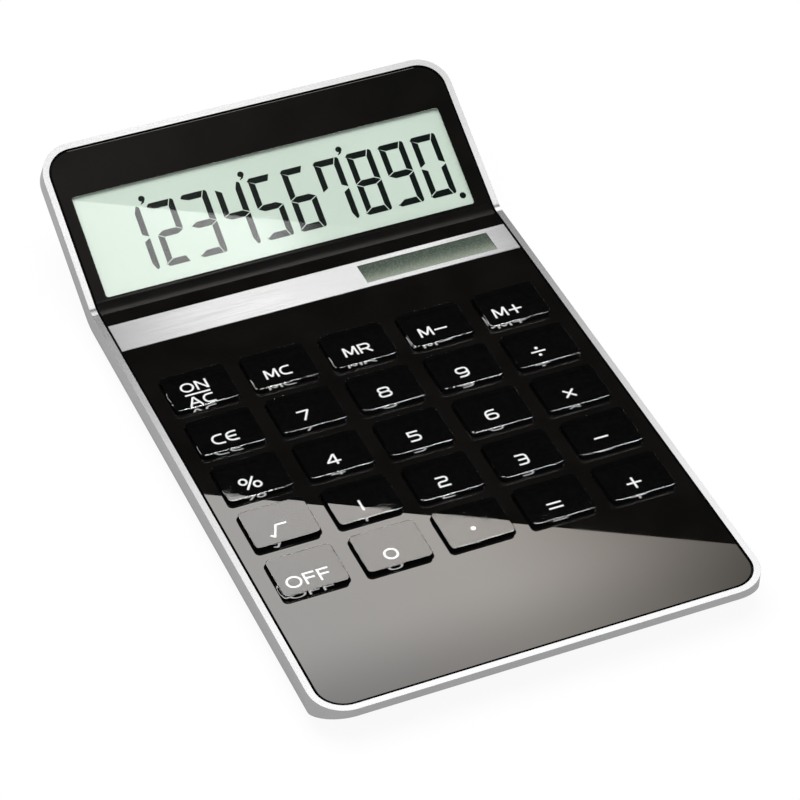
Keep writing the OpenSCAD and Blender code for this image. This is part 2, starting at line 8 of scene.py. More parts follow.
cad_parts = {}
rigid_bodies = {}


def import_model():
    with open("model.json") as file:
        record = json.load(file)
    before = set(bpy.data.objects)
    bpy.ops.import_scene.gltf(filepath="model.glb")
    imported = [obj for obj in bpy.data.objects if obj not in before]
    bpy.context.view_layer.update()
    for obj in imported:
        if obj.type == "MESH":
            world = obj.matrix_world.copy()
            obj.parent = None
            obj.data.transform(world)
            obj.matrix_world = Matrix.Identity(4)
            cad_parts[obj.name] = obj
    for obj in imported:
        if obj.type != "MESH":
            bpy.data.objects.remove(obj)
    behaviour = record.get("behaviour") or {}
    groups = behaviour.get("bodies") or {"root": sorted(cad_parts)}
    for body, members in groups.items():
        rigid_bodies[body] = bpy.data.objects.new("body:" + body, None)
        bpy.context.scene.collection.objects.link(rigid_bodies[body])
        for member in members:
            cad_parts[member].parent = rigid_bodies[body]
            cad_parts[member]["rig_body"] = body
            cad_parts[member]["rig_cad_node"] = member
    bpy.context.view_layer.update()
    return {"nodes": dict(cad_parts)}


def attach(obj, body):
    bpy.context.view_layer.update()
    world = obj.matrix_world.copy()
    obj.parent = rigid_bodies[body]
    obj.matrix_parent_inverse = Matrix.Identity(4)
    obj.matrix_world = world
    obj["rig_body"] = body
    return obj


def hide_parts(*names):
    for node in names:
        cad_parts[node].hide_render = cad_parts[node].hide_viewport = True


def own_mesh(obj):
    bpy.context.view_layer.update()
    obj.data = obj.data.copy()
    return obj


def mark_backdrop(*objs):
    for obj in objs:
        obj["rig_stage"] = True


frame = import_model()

scene = bpy.context.scene

# Sizes that the pieces share, in millimetres: heights are from the keypad's face
MM = 0.001
FACE_Z = 9.45
CASE_MID = 86.442
BEND_Y = 135.3
TILT = math.radians(29.3)
KEY_W, KEY_D, KEY_R = 15.0, 11.7, 1.2
KEY_TOP, CAP_LOW, KEY_TRAVEL = 1.15, -2.05, 1.2
BOARD_TOP, WEB_TOP = -5.15, -4.15
PITCH_X, PITCH_Y = 19.1, 15.675
FIRST_ROW_Y = 100.95
GLASS_TOP = -1.0
OPENING_HALF, OPENING_R, DISPLAY_L = 50.0, 6.5, 40.4
SOLAR_W, SOLAR_D, SOLAR_X, SOLAR_Y = 33.0, 6.4, 27.8, 124.6
SOLAR_TOP, SOLAR_GAP = -0.05, 0.06
WINDOW_HALF, WINDOW_LOW, WINDOW_HIGH, WINDOW_MARGIN = 46.3, 2.65, 28.35, 0.5
WINDOW_SHIFT, WINDOW_LIFT = -0.45, 0.2
# Limits that tell the case's bare rim and the face's edges from what lies inside and below them
INSIDE_LOW, RIM_REACH, FACE_REACH, BARE_EDGE = -2.3, 0.7, -0.2, 0.21

KEYS = [
    ["on_ac", "mc", "mr", "m_minus", "m_plus"],
    ["ce", "7", "8", "9", "divide"],
    ["percent", "4", "5", "6", "multiply"],
    ["root", "1", "2", "3", "minus"],
    ["off", "0", "point", "equals", "plus"],
]


def on_face(x, y, h=0.0):
    """A point in metres, from its place over the keypad's face in millimetres."""
    return Vector((x, y - CASE_MID, h + FACE_Z)) * MM


def key_place(col, row, h=0.0):
    return on_face((col - 2) * PITCH_X, FIRST_ROW_Y - row * PITCH_Y, h)


DISPLAY = Matrix.Translation(on_face(0, BEND_Y)) @ Matrix.Rotation(TILT, 4, "X")


# Shader wiring
class Wire:
    """A socket in a material. Arithmetic on it adds Math nodes, and node() adds any other node."""

    def __init__(self, tree, socket):
        self.tree = tree
        self.socket = socket

    def node(self, kind, settings=None, sockets=None, out=0):
        made = self.tree.nodes.new("ShaderNode" + kind)
        for name, value in (settings or {}).items():
            if name == "stops":
                ramp = made.color_ramp.elements
                while len(ramp) < len(value):
                    ramp.new(1.0)
                for stop, (place, colour) in zip(ramp, value):
                    stop.position = place
                    stop.color = colour
            else:
                setattr(made, name, value)
        for name, value in (sockets or {}).items():
            self.feed(made.inputs[name], value)
        return Wire(self.tree, made.outputs[out])

    def feed(self, target, value):
        if isinstance(value, Wire):
            self.tree.links.new(value.socket, target)
        else:
            target.default_value = value

    def math(self, operation, first, second):
        return self.node("Math", {"operation": operation}, {0: first, 1: second})

    def __add__(self, other):
        return self.math("ADD", self, other)

    __radd__ = __add__

    def __sub__(self, other):
        return self.math("SUBTRACT", self, other)

    def __rsub__(self, other):
        return self.math("SUBTRACT", other, self)

    def __mul__(self, other):
        return self.math("MULTIPLY", self, other)

    __rmul__ = __mul__

    def __gt__(self, other):
        return self.math("GREATER_THAN", self, other)

    def ramp(self, low, high, first=0.0, second=1.0):
        """A soft step from first to second as this wire goes from low to high."""
        return self.node("MapRange", {"interpolation_type": "SMOOTHSTEP"},
                         {0: self, 1: low, 2: high, 3: first, 4: second})

    def mix(self, first, second):
        """The first colour at 0 and the second at 1."""
        return self.node("Mix", {"data_type": "RGBA"}, {0: self, 6: first, 7: second}, 2)

    def bump(self, distance, strength):
        return self.node("Bump", None, {"Height": self, "Distance": distance, "Strength": strength})

    def noise(self, scale, detail, stretch=(1, 1, 1)):
        """Noise over these coordinates, in grains to the metre."""
        place = self.node("Mapping", None, {"Vector": self, "Scale": stretch})
        return place.node("TexNoise", None, {"Vector": place, "Scale": scale, "Detail": detail})

    def along(self, direction):
        """How far these coordinates lie along a direction."""
        return self.node("VectorMath", {"operation": "DOT_PRODUCT"}, {0: self, 1: direction}, 1)


def grey(value, warm=0.0):
    return (value * (1 + warm), value, value * (1 - warm), 1.0)


def finish(name, recipe, constants):
    """A material whose recipe turns the object's coordinates into the sockets that vary."""
    material = bpy.data.materials.new(name)
    material.use_nodes = True
    tree = material.node_tree
    shader = tree.nodes["Principled BSDF"]
    place = Wire(tree, tree.nodes.new("ShaderNodeTexCoord").outputs["Object"])
    for socket, value in constants.items():
        shader.inputs[socket].default_value = value
    for socket, value in recipe(place).items():
        place.feed(shader.inputs[socket], value)
    return material


def let_light_through(material):
    """Shadow rays and diffuse light pass straight through a clear piece."""
    tree = material.node_tree
    shader = tree.nodes["Principled BSDF"]
    path = tree.nodes.new("ShaderNodeLightPath")
    light = Wire(tree, path.outputs["Is Shadow Ray"]) + Wire(tree, path.outputs["Is Diffuse Ray"])
    clear = tree.nodes.new("ShaderNodeBsdfTransparent")
    either = light.node("MixShader", None, {
        0: light, 1: Wire(tree, shader.outputs[0]), 2: Wire(tree, clear.outputs[0])})
    either.feed(tree.nodes["Material Output"].inputs["Surface"], either)
    return material


def silver_lacquer(place):
    flakes = place.noise(9000, 1)
    cloud = place.noise(60, 2)
    return {
        "Base Color": (cloud * 0.5 + flakes * 0.5).ramp(0.3, 0.7).mix(grey(0.62), grey(0.68)),
        "Roughness": flakes.ramp(0.3, 0.7, 0.17, 0.23),
        "Normal": flakes.bump(0.000004, 0.5),
    }


def moulded_grey(place):
    spark = place.noise(2600, 3)
    cloud = place.noise(45, 2)
    return {
        "Base Color": (cloud * 0.6 + spark * 0.4).ramp(0.3, 0.7).mix(grey(0.20), grey(0.26)),
        "Roughness": spark.ramp(0.3, 0.7, 0.48, 0.66),
        "Normal": spark.bump(0.00004, 0.6),
    }


def behind(place, y):
    """How far these coordinates lie behind a place along the case."""
    return place.along((0, 1, 0)) - (y - CASE_MID) * MM


def black_gloss(place):
    cloud = place.noise(90, 2)
    wave = place.noise(14, 1)
    past_bend = behind(place, BEND_Y)
    bend = past_bend.ramp(-0.00196, -0.00126) * past_bend.ramp(0.00134, 0.00204, 1.0, 0.0)
    return {
        "Base Color": cloud.ramp(0.3, 0.7).mix(grey(0.0025, 0.1), grey(0.0040, 0.1)),
        "Roughness": cloud.ramp(0.3, 0.7, 0.0, 0.012) + 0.38 * bend,
        "Normal": wave.bump(0.00001, 0.2),
    }


def clear_sheet(place):
    cloud = place.noise(120, 2)
    return {"Roughness": cloud.ramp(0.4, 0.7, 0.0, 0.02)}


def key_glass(place):
    cloud = place.noise(240, 2)
    return {"Roughness": cloud.ramp(0.4, 0.7, 0.0, 0.025)}


def brushed_aluminium(place):
    lines = place.noise(2600, 3, (0.02, 1, 1))
    cloud = place.noise(40, 2)
    return {
        "Base Color": (lines * 0.7 + cloud * 0.3).ramp(0.3, 0.7).mix(grey(0.67), grey(0.73)),
        "Roughness": lines.ramp(0.3, 0.7, 0.1, 0.16),
        "Normal": lines.bump(0.000004, 0.4),
    }


def solar_glass(place):
    grains = place.noise(2600, 2)
    rear = behind(place, SOLAR_Y)
    # Painted shade: lit and shaded copies of the cell's colour, lighter at the front and darker towards the
    # rear, where the window's rear wall would shade it
    front = grains.ramp(0.3, 0.7).mix((0.228, 0.26, 0.212, 1), (0.236, 0.268, 0.22, 1))
    middle = grains.ramp(0.3, 0.7).mix((0.116, 0.138, 0.108, 1), (0.122, 0.144, 0.113, 1))
    back = grains.ramp(0.3, 0.7).mix((0.048, 0.066, 0.05, 1), (0.052, 0.071, 0.055, 1))
    lit_front_to_shade = rear.ramp(-0.00366, -0.00016).mix(front, middle)
    return {
        "Base Color": rear.ramp(-0.00166, 0.00184).mix(lit_front_to_shade, back),
        "Roughness": grains.ramp(0.3, 0.7, 0.2, 0.32),
    }


def plain_grain(first, second, low, high, scale=900, depth=0.00001):
    """A recipe for a hidden or small piece: two colours, a roughness range and a fine grain."""
    def recipe(place):
        grain = place.noise(scale, 3)
        return {
            "Base Color": grain.ramp(0.3, 0.7).mix(first, second),
            "Roughness": grain.ramp(0.3, 0.7, low, high),
            "Normal": grain.bump(depth, 0.5),
        }
    return recipe


def lcd_face(place):
    cloud = place.noise(30, 2)
    fine = place.noise(1500, 2)
    return {
        "Base Color": (cloud * 0.7 + fine * 0.3).ramp(0.3, 0.7).mix(
            (0.525, 0.63, 0.54, 1), (0.56, 0.67, 0.58, 1)),
        "Roughness": fine.ramp(0.3, 0.7, 0.45, 0.6),
    }


def circuit_green(place):
    weave = place.noise(1300, 2)
    across = place.along((700, 0, 0))
    tracks = across.math("FRACT", across, 0.0) > 0.72
    return {
        "Base Color": (tracks * 0.5 + weave * 0.5).mix((0.01, 0.06, 0.022, 1), (0.02, 0.13, 0.05, 1)),
        "Roughness": weave.ramp(0.3, 0.7, 0.3, 0.45),
        "Normal": tracks.bump(0.00002, 0.4),
    }


FINISHES = {
    "silver_lacquer": finish("silver_lacquer", silver_lacquer, {"Metallic": 0.85}),
    "grey_plastic": finish("grey_plastic", moulded_grey, {}),
    "black_gloss": finish("black_gloss", black_gloss, {"IOR": 1.5}),
    "clear_acrylic": let_light_through(finish("clear_acrylic", clear_sheet, {
        "Transmission Weight": 1.0, "IOR": 1.49, "Base Color": grey(1.0)})),
    "key_acrylic": let_light_through(finish("key_acrylic", key_glass, {
        "Transmission Weight": 1.0, "IOR": 1.49, "Base Color": grey(1.0)})),
    "brushed_aluminium": finish("brushed_aluminium", brushed_aluminium, {"Metallic": 0.9}),
    "solar_glass": finish("solar_glass", solar_glass, {"Specular IOR Level": 0.3}),
    "lcd_glass": finish("lcd_glass", lcd_face, {}),
    "black_silicone": finish("black_silicone", plain_grain(
        grey(0.010), grey(0.018), 0.6, 0.75, 700, 0.00003), {}),
    "board_laminate": finish("board_laminate", circuit_green, {}),
    "foil": finish("foil", plain_grain(grey(0.7), grey(0.85), 0.2, 0.35), {"Metallic": 1.0}),
    "foam": finish("foam", plain_grain(grey(0.06), grey(0.14), 0.85, 0.95, 1800, 0.0001), {}),
    "ribbon_film": finish("ribbon_film", plain_grain(
        (0.50, 0.20, 0.03, 1), (0.62, 0.30, 0.06, 1), 0.25, 0.4), {}),
    "carbon_rubber": finish("carbon_rubber", plain_grain(grey(0.006), grey(0.014), 0.7, 0.85), {}),
    "potting": finish("potting", plain_grain(grey(0.008), grey(0.016), 0.3, 0.45), {}),
    "wire_sleeve": finish("wire_sleeve", plain_grain(
        (0.45, 0.02, 0.02, 1), (0.60, 0.04, 0.03, 1), 0.35, 0.5), {}),
    "cell_steel": finish("cell_steel", plain_grain(
        grey(0.6), grey(0.75), 0.18, 0.34, 2400), {"Metallic": 1.0}),
    "contact_brass": finish("contact_brass", plain_grain(
        (0.60, 0.42, 0.16, 1), (0.75, 0.55, 0.24, 1), 0.25, 0.4), {"Metallic": 1.0}),
    "screw_steel": finish("screw_steel", plain_grain(
        grey(0.42), grey(0.58), 0.25, 0.42, 3000), {"Metallic": 1.0}),
    "foot_rubber": finish("foot_rubber", plain_grain(
        grey(0.014), grey(0.030), 0.7, 0.85, 1500, 0.00006), {}),
}
KEY_WALL = let_light_through(finish("key_acrylic_wall", key_glass, {
    "Transmission Weight": 1.0, "IOR": 1.49, "Base Color": grey(0.3)}))
# Painted shade: near-black for the case's walls inside the opening, in the gap around the face
CASE_INSIDE_SHADE = finish("case_inside_black", plain_grain(grey(0.006), grey(0.012), 0.6, 0.75), {})
NO_SHEEN = {"Specular IOR Level": 0.0}
KEY_PRINT = finish("key_print_black", plain_grain(grey(0.0012), grey(0.0022), 0.6, 0.7), NO_SHEEN)
KEY_INK = finish("key_ink_white", plain_grain(grey(0.94), grey(0.98), 0.55, 0.7), NO_SHEEN)
LCD_INK = finish("lcd_ink_green_black", plain_grain(
    (0.001, 0.004, 0.003, 1), (0.002, 0.006, 0.005, 1), 0.5, 0.6), NO_SHEEN)


# Modelling moves, with angles in degrees
SMOOTH_ANGLE, CAD_SMOOTH_ANGLE, SHARP_ANGLE, FLAT_ANGLE = 35, 20, 30, 0.2
CORNER_STEPS, SOFT_STEPS = 6, 2
MERGE_GAP = 0.002


def only(piece):
    bpy.ops.object.select_all(action="DESELECT")
    piece.select_set(True)
    bpy.context.view_layer.objects.active = piece


def select_parts(piece, kind, test):
    """Selects the edges or faces of the piece in edit mode that pass the test."""
    bpy.ops.mesh.select_mode(type={"edges": "EDGE", "faces": "FACE"}[kind])
    bpy.ops.mesh.select_all(action="DESELECT")
    mesh = bmesh.from_edit_mesh(piece.data)
    for part in getattr(mesh, kind):
        if test(part):
            part.select_set(True)
    bmesh.update_edit_mesh(piece.data)


def upright(edge):
    run = edge.verts[0].co - edge.verts[1].co
    return abs(run.z) > 10 * max(abs(run.x), abs(run.y))


def top_rim(edge):
    slopes = [face.normal.z for face in edge.link_faces]
    return max(slopes) > 0.9 and min(slopes) < 0.5


def rounded(face):
    return 0.1 < face.normal.z < 0.99


def smoothed(angle):
    """Smooth shading on the active piece under the angle, with its large faces kept flat."""
    bpy.ops.object.shade_smooth_by_angle(angle=math.radians(angle))
    bpy.ops.object.modifier_add(type="WEIGHTED_NORMAL")
    weighted = bpy.context.active_object.modifiers[-1]
    weighted.keep_sharp = True
    weighted.weight = 100
    bpy.ops.object.modifier_apply(modifier=weighted.name)


def rounded_block(name, size, corner, edge=0.0, steps=3):
    """A block on its own middle, in millimetres, with round corners and a softened top rim."""
    bpy.ops.object.select_all(action="DESELECT")
    bpy.ops.mesh.primitive_cube_add(size=1)
    piece = bpy.context.active_object
    piece.name = name
    bpy.ops.object.mode_set(mode="EDIT")
    bpy.ops.transform.resize(value=[side * MM for side in size])
    select_parts(piece, "edges", upright)
    bpy.ops.mesh.bevel(offset=corner * MM, segments=CORNER_STEPS, affect="EDGES")
    if edge:
        select_parts(piece, "edges", top_rim)
        bpy.ops.mesh.bevel(offset=edge * MM, segments=steps, affect="EDGES")
    bpy.ops.object.mode_set(mode="OBJECT")
    smoothed(SMOOTH_ANGLE)
    return piece


def split_off(piece, test):
    """The faces that pass the test, as a smooth piece of their own."""
    only(piece)
    bpy.ops.object.mode_set(mode="EDIT")
    select_parts(piece, "faces", test)
    bpy.ops.mesh.separate(type="SELECTED")
    bpy.ops.object.mode_set(mode="OBJECT")
    part = next(p for p in bpy.context.selected_objects if p is not piece)
    for half in (piece, part):
        only(half)
        bpy.ops.mesh.customdata_custom_splitnormals_clear()
        bpy.ops.object.shade_smooth_by_angle(angle=math.radians(SMOOTH_ANGLE))
    return part


def placed(piece, place):
    """The piece with its place put into its mesh."""
    only(piece)
    piece.location = place
    bpy.ops.object.transform_apply(location=True, rotation=False, scale=False)
    return piece


def copied(model, name, place):
    only(model)
    bpy.ops.object.duplicate()
    piece = bpy.context.active_object
    piece.name = name
    return placed(piece, place)


def paint(piece, *materials):
    piece.data.materials.clear()
    for material in materials:
        piece.data.materials.append(material)


def dress(piece, body, slot, nodes=()):
    """Gives a piece its body, the nodes that it stands for and, unless it has one, its finish."""
    if len(piece.data.materials) == 0:
        paint(piece, FINISHES[slot])
    if nodes:
        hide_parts(*nodes)
    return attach(piece, body)


def past_corner(across, ahead):
    """How far a place lies outside the face's opening, with its round corner, in millimetres."""
    corner = Vector((across + OPENING_R - OPENING_HALF, ahead + OPENING_R))
    return Vector((max(corner.x, 0), max(corner.y, 0))).length + min(max(corner), 0) - OPENING_R


def in_section(point):
    """How far a point in metres lies outside the opening, and its height over its section's face."""
    low = point / MM - Vector((0, BEND_Y - CASE_MID, FACE_Z))
    up = DISPLAY.inverted() @ point / MM
    outside = max(past_corner(abs(low.x), -BEND_Y - low.y), past_corner(abs(up.x), up.y - DISPLAY_L))
    return outside, up.z if up.y > 0 else low.z


def softened_copy(node, name, edge, rim=None):
    """A merged copy of a CAD node with its sharp edges softened. With a rim width, only the edges of its
    face are, and those along the opening by that width."""
    only(frame["nodes"][node])
    bpy.ops.object.duplicate()
    piece = bpy.context.active_object
    piece.name = name
    piece.parent = None
    piece.data.materials.clear()
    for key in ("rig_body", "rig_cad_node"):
        del piece[key]
    bpy.ops.object.mode_set(mode="EDIT")
    bpy.ops.mesh.select_all(action="SELECT")
    bpy.ops.mesh.remove_doubles(threshold=MERGE_GAP * MM)
    bpy.ops.mesh.dissolve_limited(angle_limit=math.radians(FLAT_ANGLE))
    bpy.ops.object.mode_set(mode="OBJECT")
    weights = piece.data.attributes.new("bevel_weight_edge", "FLOAT", "EDGE")
    widest = rim or edge
    solid = bmesh.new()
    solid.from_mesh(piece.data)
    for line in solid.edges:
        if len(line.link_faces) == 2 and line.calc_face_angle() > math.radians(SHARP_ANGLE):
            outside, height = in_section((line.verts[0].co + line.verts[1].co) / 2)
            width = edge
            if rim:
                width = 0.0 if height < FACE_REACH else rim if outside > -RIM_REACH else edge
            weights.data[line.index].value = width / widest
    solid.free()
    bpy.ops.object.modifier_add(type="BEVEL")
    bevel = piece.modifiers[-1]
    bevel.width = widest * MM
    bevel.segments = SOFT_STEPS
    bevel.limit_method = "WEIGHT"
    bpy.ops.object.modifier_apply(modifier=bevel.name)
    smoothed(CAD_SMOOTH_ANGLE)
    return piece


# Case, cover, face and strip
case = softened_copy("top_case", "case_shell", edge=0.2)
dress(case, "case", "silver_lacquer", ["top_case"])
# The case's walls inside the opening, along the gap around the face, take the near-black painted shade
case.data.materials.append(CASE_INSIDE_SHADE)
for polygon in case.data.polygons:
    corners = [in_section(case.data.vertices[v].co) for v in polygon.vertices]
    if all(outside < BARE_EDGE and height > INSIDE_LOW for outside, height in corners):
        polygon.material_index = 1
dress(softened_copy("back_cover", "cover_shell", edge=0.25), "case", "grey_plastic", ["back_cover"])


def moved_window(piece):
    """The piece with its window edges where the print behind the clear face puts them."""
    for vertex in piece.data.vertices:
        place = DISPLAY.inverted() @ vertex.co / MM
        across = abs(place.x) < WINDOW_HALF + WINDOW_MARGIN
        if across and WINDOW_LOW - WINDOW_MARGIN < place.y < WINDOW_HIGH + WINDOW_MARGIN:
            vertex.co.x += WINDOW_SHIFT * MM
            if place.y > (WINDOW_LOW + WINDOW_HIGH) / 2:
                vertex.co += DISPLAY.to_3x3() @ Vector((0, WINDOW_LIFT * MM, 0))
    return piece


sheet = moved_window(softened_copy("face_panel", "face_sheet", edge=0.03, rim=0.18))
dress(sheet, "case", "black_gloss", ["face_panel"])
window = moved_window(softened_copy("display_window", "window_pane", edge=0.03))
dress(window, "case", "clear_acrylic", ["display_window"])
dress(softened_copy("solar_strip", "strip_plate", edge=0.06), "case", "brushed_aluminium", ["solar_strip"])
dress(softened_copy("battery_door", "door_plate", edge=0.12), "door", "grey_plastic", ["battery_door"])

# The solar cell's glass fills its window up to the strip, with painted shade darker towards its rear
pane = rounded_block(
    "solar_pane", (SOLAR_W - SOLAR_GAP, SOLAR_D - SOLAR_GAP, SOLAR_TOP - GLASS_TOP), corner=0.05)
dress(placed(pane, on_face(SOLAR_X, SOLAR_Y, (SOLAR_TOP + GLASS_TOP) / 2)), "case", "solar_glass")

# The remaining solids keep their shape and take their finish
KEPT = {
    "solar_cell": "solar_glass", "solar_leads": "wire_sleeve",
    "lcd_glass": "lcd_glass", "lcd_reflector": "foil", "lcd_pads": "foam", "lcd_ribbon": "ribbon_film",
    "contact_pills": "carbon_rubber", "circuit_board": "board_laminate", "potted_chip": "potting",
    "button_cell": "cell_steel", "battery_top_contact": "contact_brass",
    "battery_side_contact": "contact_brass", "case_screws": "screw_steel", "board_screws": "screw_steel",
    "rubber_feet": "foot_rubber",
}
for kept_node, kept_slot in KEPT.items():
    paint(frame["nodes"][kept_node], FINISHES[kept_slot])


# Lettering: strokes along centre lines in a box one unit high, each with its points and whether it is closed
TURN_STEPS, TURN_SQUARENESS = 6, 0.82


def straight(start, end):
    return [start, end], False


def turned(points, radius, closed=False):
    """A stroke through the points with its corners turned by arcs of the radius."""
    out = []
    count = len(points)
    for i, point in enumerate(points):
        here = Vector(point)
        if not closed and i in (0, count - 1):
            out.append(tuple(here))
            continue
        back = Vector(points[i - 1]) - here
        ahead = Vector(points[(i + 1) % count]) - here
        reach = min(radius, back.length * 0.499, ahead.length * 0.499)
        start, end = here + back.normalized() * reach, here + ahead.normalized() * reach
        pull = TURN_SQUARENESS * here + (1 - TURN_SQUARENESS) * (start + end) / 2
        for step in range(TURN_STEPS + 1):
            t = step / TURN_STEPS
            out.append(tuple((1 - t) ** 2 * start + 2 * t * (1 - t) * pull + t * t * end))
    return out, closed


def boxed(left, low, right, high, radius):
    """A closed box with round corners."""
    return turned([(left, low), (right, low), (right, high), (left, high)], radius, True)


def ring(x, y, across, up):
    angles = [step * math.pi / 6 for step in range(12)]
    return [(x + across * math.cos(a), y + up * math.sin(a)) for a in angles], True


SIX_W = 0.92
SIX = [boxed(0, 0, SIX_W, 0.58, 0.28), turned([(0.86, 1), (0, 1), (0, 0.26)], 0.55)]

# The width of each letter and its strokes
LETTERS = {
    "0": (0.98, [boxed(0, 0, 0.98, 1, 0.46)]),
    "O": (1.06, [boxed(0, 0, 1.06, 1, 0.5)]),
    "1": (0.0, [straight((0, -0.09), (0, 1.09))]),
    "2": (0.82, [
        turned([(-0.05, 1), (0.82, 1), (0.82, 0.5), (0, 0.5), (0, -0.09)], 0.24),
        straight((-0.05, 0), (0.90, 0))]),
    "3": (0.78, [
        turned([(-0.05, 1), (0.78, 1), (0.78, 0), (-0.05, 0)], 0.26), straight((0.06, 0.5), (0.74, 0.5))]),
    "4": (1.0, [
        straight((0.70, -0.09), (0.70, 1.06)), straight((0.66, 1.03), (0.02, 0.26)),
        straight((-0.05, 0.26), (1.06, 0.26))]),
    "5": (0.86, [
        straight((0.86, 1), (-0.04, 1)), straight((0.02, 1.08), (0.02, 0.52)),
        turned([(-0.06, 0.58), (0.86, 0.58), (0.86, 0), (-0.06, 0)], 0.28)]),
    "6": (SIX_W, SIX),
    "7": (0.92, [straight((-0.05, 1), (0.97, 1)), straight((0.93, 1.02), (0.30, -0.09))]),
    "8": (0.94, [boxed(0, 0, 0.94, 0.53, 0.27), boxed(0.05, 0.53, 0.89, 1, 0.25)]),
    "9": (SIX_W, [([(SIX_W - x, 1 - y) for x, y in line], shut) for line, shut in SIX]),
    "N": (0.90, [
        straight((0, -0.09), (0, 1.09)), straight((0.90, -0.09), (0.90, 1.09)),
        straight((0.03, 1.03), (0.87, -0.03))]),
    "A": (1.0, [
        straight((-0.04, -0.09), (0.5, 1.08)), straight((1.04, -0.09), (0.5, 1.08)),
        straight((0.18, 0.30), (0.82, 0.30))]),
    "C": (0.86, [turned([(0.93, 1), (0, 1), (0, 0), (0.93, 0)], 0.5)]),
    "E": (0.84, [turned([(0.90, 1), (0, 1), (0, 0), (0.90, 0)], 0.5), straight((0, 0.5), (0.80, 0.5))]),
    "F": (0.74, [
        straight((0, -0.09), (0, 1.09)), straight((-0.04, 1), (0.80, 1)), straight((0, 0.52), (0.72, 0.52))]),
    "M": (1.06, [
        straight((0, -0.09), (0.06, 1.07)), straight((1.06, -0.09), (1.00, 1.07)),
        straight((0.07, 1.05), (0.53, 0.10)), straight((0.99, 1.05), (0.53, 0.10))]),
    "R": (0.92, [
        straight((0, -0.09), (0, 1.09)), turned([(-0.04, 1), (0.88, 1), (0.88, 0.42), (-0.04, 0.42)], 0.29),
        straight((0.50, 0.42), (0.96, -0.09))]),
    "+": (0.96, [straight((-0.08, 0.46), (1.04, 0.46)), straight((0.48, -0.10), (0.48, 1.02))]),
    "-": (1.0, [straight((-0.08, 0.46), (1.08, 0.46))]),
    "x": (0.82, [straight((0, 0.08), (0.82, 0.90)), straight((0, 0.90), (0.82, 0.08))]),
    "=": (0.98, [straight((-0.06, 0.23), (1.04, 0.23)), straight((-0.06, 0.70), (1.04, 0.70))]),
    "root": (1.26, [
        straight((0, 0.20), (0.24, -0.02)), straight((0.22, -0.06), (0.68, 1.04)),
        straight((0.60, 1), (1.40, 1))]),
    "%": (1.4, [
        ring(0.26, 0.74, 0.26, 0.28), ring(1.14, 0.24, 0.26, 0.28), straight((0.30, -0.09), (1.06, 1.07))]),
    "/": (1.0, [
        straight((-0.10, 0.46), (1.10, 0.46)), ring(0.5, 0.04, 0.06, 0.06), ring(0.5, 0.88, 0.06, 0.06)]),
    "dot": (0.0, [ring(0, 0.48, 0.10, 0.10)]),
}


def written(glyphs, height, stroke, middle, gap):
    """Strokes of a word in millimetres: height is over the ink, and middle is the word's middle."""
    unit = height - stroke
    parts = [LETTERS[glyph] for glyph in glyphs]
    total = sum(width for width, lines in parts) + gap * (len(parts) - 1)
    left = middle[0] - total * unit / 2
    strokes = []
    for width, lines in parts:
        for line, shut in lines:
            strokes.append(([(left + x * unit, middle[1] + (y - 0.5) * unit) for x, y in line], shut))
        left += (width + gap) * unit
    return strokes


INK_FLATNESS = 0.04


def inked(name, strokes, place):
    """A flat mesh of the strokes of a legend, which lie about the place."""
    curve = bpy.data.curves.new(name, "CURVE")
    curve.dimensions = "3D"
    curve.twist_mode = "Z_UP"
    curve.bevel_depth = DIGIT_STROKE / 2 * MM
    curve.bevel_resolution = 0
    curve.use_fill_caps = True
    for line, shut in strokes:
        spline = curve.splines.new("POLY")
        spline.points.add(len(line) - 1)
        spline.use_cyclic_u = shut
        for point, (x, y) in zip(spline.points, line):
            point.co = (x * MM, y * MM, 0, 1)
    piece = bpy.data.objects.new(name, curve)
    scene.collection.objects.link(piece)
    only(piece)
    bpy.ops.object.convert(target="MESH")
    piece.scale = (1, 1, INK_FLATNESS)
    piece.location = place
    bpy.ops.object.transform_apply(location=True, rotation=False, scale=True)
    return piece


DIGIT_H, DIGIT_STROKE, DIGIT_GAP = 3.6, 0.57, 0.62
WORD_H, WORD_STROKE, WORD_GAP = 3.25, 0.54, 0.34
BAR_HALF = 3.0
LEGENDS = {
    "on_ac": [(["O", "N"], (0, 2.5)), (["bar"], (0, 0)), (["A", "C"], (0, -2.4))],
    "mc": [(["M", "C"], (0, 0))], "mr": [(["M", "R"], (0, 0))],
    "m_minus": [(["M", "-"], (0, 0))], "m_plus": [(["M", "+"], (0, 0))],
    "ce": [(["C", "E"], (0, 0))], "off": [(["O", "F", "F"], (0, 0))],
    "percent": [(["%"], (0, 0))], "root": [(["root"], (0, 0))], "divide": [(["/"], (0, 0))],
    "multiply": [(["x"], (0, 0))], "minus": [(["-"], (0, 0))], "plus": [(["+"], (0, 0))],
    "equals": [(["="], (0, 0))], "point": [(["dot"], (0, 0))],
}
# How far each legend is printed off its key's middle, and its size against the usual
LEGEND_FIT = {
    "on_ac": (-0.40, 0.0, 0.97), "mc": (-0.45, -0.20, 0.97), "mr": (-0.05, 0.10, 1.0),
    "m_minus": (-0.50, -0.10, 1.0), "m_plus": (-1.0, -0.25, 1.03),
    "ce": (-0.25, -0.35, 1.02), "7": (-0.40, -0.15, 0.93), "8": (-0.05, 0.20, 0.96),
    "9": (-0.30, -0.25, 0.95), "divide": (-0.55, -0.15, 0.97),
    "percent": (-0.50, -0.30, 1.05), "4": (-0.15, -0.20, 0.98), "5": (0.20, -0.05, 0.95),
    "6": (-0.20, -0.05, 0.93), "multiply": (-0.20, -0.15, 0.98),
    "root": (-0.50, -0.55, 1.08), "1": (-0.20, -0.25, 0.95), "2": (0.0, -0.10, 0.95),
    "3": (-0.15, -0.20, 0.98), "minus": (-0.15, -0.20, 0.97),
    "off": (-0.10, -0.70, 1.08), "0": (-0.20, -0.65, 0.96), "point": (0.0, -0.15, 1.12),
    "equals": (0.15, -0.30, 1.02), "plus": (0.0, -0.40, 1.03),
}


